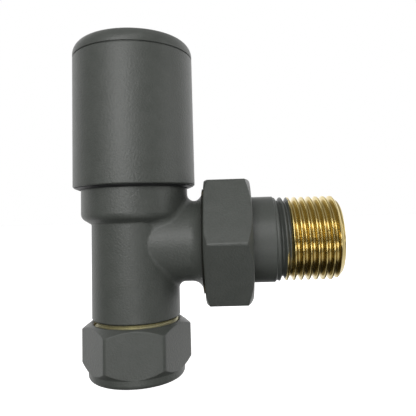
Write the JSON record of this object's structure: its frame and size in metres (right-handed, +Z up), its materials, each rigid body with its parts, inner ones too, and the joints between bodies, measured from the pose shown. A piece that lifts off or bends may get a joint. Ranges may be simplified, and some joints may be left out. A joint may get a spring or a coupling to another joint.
{
  "type": "angle radiator valve",
  "caption": "Manual angle radiator valve: round handwheel, forged casing, compression inlet below, union nut and threaded tail at the side.",
  "frame": {"origin": "Centre of the compression nut's lower face, at the mouth of the hole that the pipe enters.", "axes": "+Z runs up the valve's spindle to the handwheel, +X runs out along the union tail to the radiator, and +Y completes the right-handed set."},
  "size_m": [0.0669, 0.0344, 0.0846],
  "materials": {
    "coated_brass": "fine-textured anthracite powder coat",
    "coated_grip": "fine-textured anthracite coat",
    "tail_brass": "bare machined brass thread, anthracite coat on the collar",
    "machined_brass": "machined",
    "seal_rubber": "smooth black rubber",
    "washer_rubber": "smooth dark rubber",
    "seal_fibre": "pressed red fibre",
    "packing_white": "soft white packing",
    "insert_black": "moulded black nylon",
    "screw_steel": "bright zinc plate"
  },
  "bodies": {
    "casing": {"body": "coated_brass", "bonnet": "machined_brass", "bonnet_seal": "seal_fibre", "spindle_o_ring": "seal_rubber", "gland_packing": "packing_white", "gland_washer": "machined_brass", "gland_nut": "machined_brass"},
    "disc": {"disc_holder": "machined_brass", "valve_washer": "washer_rubber", "washer_screw": "machined_brass"},
    "handwheel": {"spindle": "machined_brass", "handwheel_insert": "insert_black", "screw_washer": "screw_steel", "handwheel_screw": "screw_steel", "cap_sleeve": "coated_grip", "cap_top": "coated_grip"},
    "olive_ring": {"olive": "machined_brass"},
    "inlet_nut": {"compression_nut": "coated_brass"},
    "tail": {"union_tail": "tail_brass", "union_seal": "seal_rubber"},
    "union": {"union_nut": "coated_brass"}
  },
  "joints": [
    {"name": "disc_lift", "type": "slide", "parent": "casing", "child": "disc", "axis": [0, 0, 1], "range_m": [0, 0.0045]},
    {"name": "handwheel_turn", "type": "hinge", "parent": "disc", "child": "handwheel", "pos_m": [0, 0, 0.06], "axis": [0, 0, 1], "range_deg": [0, 1080]},
    {"name": "olive_draw", "type": "slide", "parent": "casing", "child": "olive_ring", "axis": [0, 0, -1], "range_m": [0, 0.00635]},
    {"name": "inlet_nut_turn", "type": "hinge", "parent": "olive_ring", "child": "inlet_nut", "pos_m": [0, 0, 0.0067], "axis": [0, 0, -1], "range_deg": [0, 1260]},
    {"name": "tail_draw", "type": "slide", "parent": "casing", "child": "tail", "axis": [1, 0, 0], "range_m": [0, 0.00635]},
    {"name": "union_nut_turn", "type": "hinge", "parent": "tail", "child": "union", "pos_m": [0.0238, 0, 0.0326], "axis": [1, 0, 0], "range_deg": [0, 1260]}
  ],
  "couplings": [
    {"joint": "handwheel_turn", "follows": "disc_lift", "rad_per_m": 4188.8},
    {"joint": "inlet_nut_turn", "follows": "olive_draw", "rad_per_m": 3463.2},
    {"joint": "union_nut_turn", "follows": "tail_draw", "rad_per_m": 3463.2}
  ]
}
